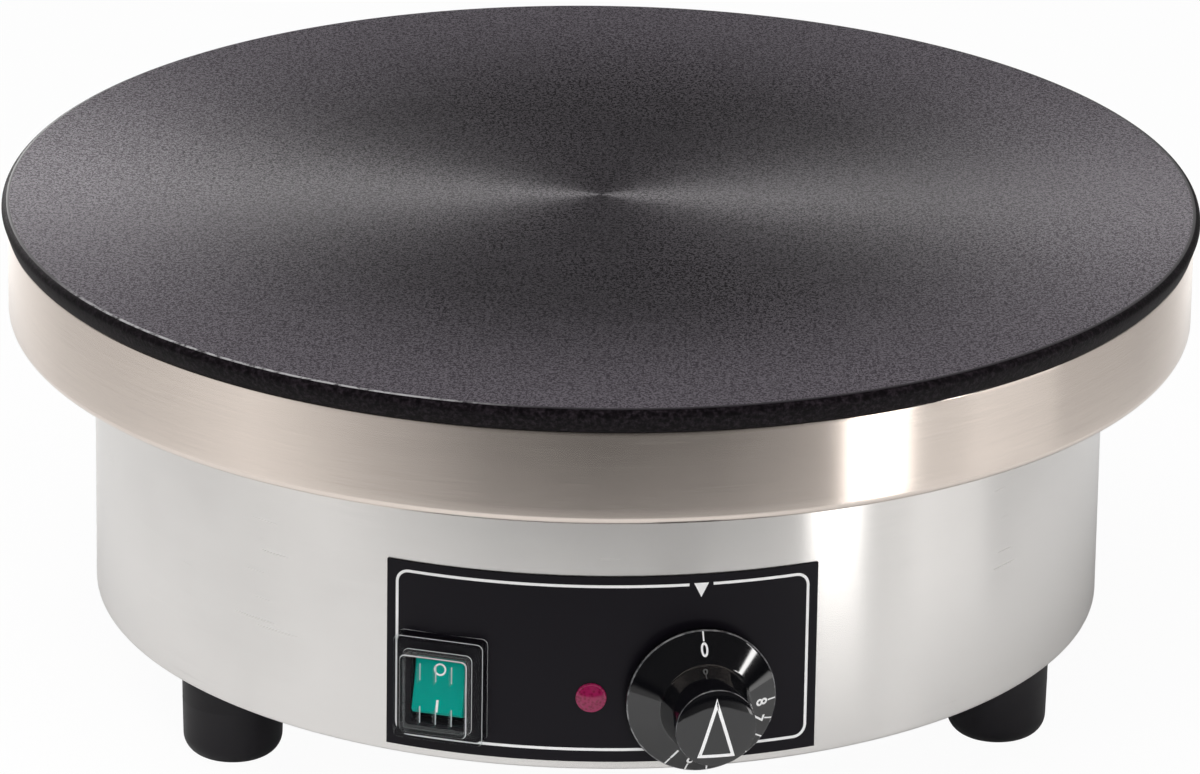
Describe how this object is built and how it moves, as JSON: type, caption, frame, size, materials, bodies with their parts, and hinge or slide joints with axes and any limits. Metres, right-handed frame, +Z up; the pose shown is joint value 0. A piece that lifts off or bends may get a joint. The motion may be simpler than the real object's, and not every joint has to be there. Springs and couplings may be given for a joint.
{
  "type": "electric crepe maker",
  "caption": "Electric crepe maker: a round cast iron cooking plate on a stainless casing and drum, with a thermostat knob, a covered rocker switch, a lamp and rubber feet.",
  "frame": {"origin": "on the ground below the middle of the cooking plate", "axes": "+Z up, the controls face -Y, +X to the right of someone who faces the controls"},
  "size_m": [0.3989, 0.399, 0.166],
  "materials": {
    "cast_iron": "machined and seasoned cast iron, dark",
    "stainless": "brushed round",
    "zinc_steel": "zinc plated steel",
    "element_sheath": "heat-tinted sheath",
    "aluminised_steel": "aluminised sheet",
    "aluminium": "satin",
    "rubber": "matt black",
    "overlay_film": "satin black film with a white line",
    "switch_plastic": "moulded black",
    "knob_plastic": "glossy black",
    "rocker_plastic": "glossy green",
    "clear_cover": "clear moulded plastic",
    "lamp_red": "dark red, half clear",
    "ceramic": "unglazed",
    "brass": "bare",
    "copper": "bare copper",
    "fibre": "ceramic fibre felt",
    "lead_brown": "silicone insulation",
    "lead_white": "silicone insulation",
    "lead_green": "silicone insulation"
  },
  "bodies": {
    "body": {"cooking_plate": "cast_iron", "upper_casing": "stainless", "drum": "stainless", "casing_rivets": "zinc_steel", "base_plate": "zinc_steel", "base_screws": "zinc_steel", "foot_screws": "zinc_steel", "foot_nuts": "zinc_steel", "element_pins": "zinc_steel", "link_nuts": "zinc_steel", "clamp_bars": "zinc_steel", "clamp_studs": "zinc_steel", "clamp_nuts": "zinc_steel", "shield_nuts": "zinc_steel", "tie_rod": "zinc_steel", "tie_washer": "zinc_steel", "tie_nut": "zinc_steel", "thermostat_bracket": "zinc_steel", "thermostat_screws": "zinc_steel", "bulb_clip": "zinc_steel", "bulb_screw": "zinc_steel", "earth_stud": "zinc_steel", "earth_nut": "zinc_steel", "element_outer": "element_sheath", "element_inner": "element_sheath", "shield_pan": "aluminised_steel", "rating_plate": "aluminium", "foot_front_left": "rubber", "foot_front_right": "rubber", "foot_rear": "rubber", "control_overlay": "overlay_film", "switch_body": "switch_plastic", "lamp_holder": "switch_plastic", "gland_body": "switch_plastic", "gland_cap": "switch_plastic", "gland_locknut": "switch_plastic", "splash_cover": "clear_cover", "lamp_lens": "lamp_red", "element_beads": "ceramic", "thermostat_body": "ceramic", "terminal_block": "ceramic", "element_links": "brass", "switch_tabs": "brass", "lamp_tabs": "brass", "thermostat_tabs": "brass", "terminal_screws": "brass", "capillary": "copper", "sensor_bulb": "copper", "plate_seal": "fibre", "insulation_disc": "fibre", "supply_leads": "lead_brown", "switch_leads": "lead_brown", "element_leads": "lead_brown", "lamp_leads": "lead_white", "earth_lead": "lead_green"},
    "rocker": {"switch_rocker": "rocker_plastic"},
    "dial": {"knob": "knob_plastic", "thermostat_shaft": "zinc_steel"}
  },
  "joints": [
    {"name": "rocker_press", "type": "hinge", "parent": "body", "child": "rocker", "pos_m": [-0.04858, -0.16228, 0.0565], "axis": [0.958, -0.2868, 0], "range_deg": [0, 30]},
    {"name": "dial_turn", "type": "hinge", "parent": "body", "child": "dial", "pos_m": [0.03559, -0.17645, 0.0561], "axis": [-0.1977, 0.9803, 0], "range_deg": [0, 270]}
  ]
}
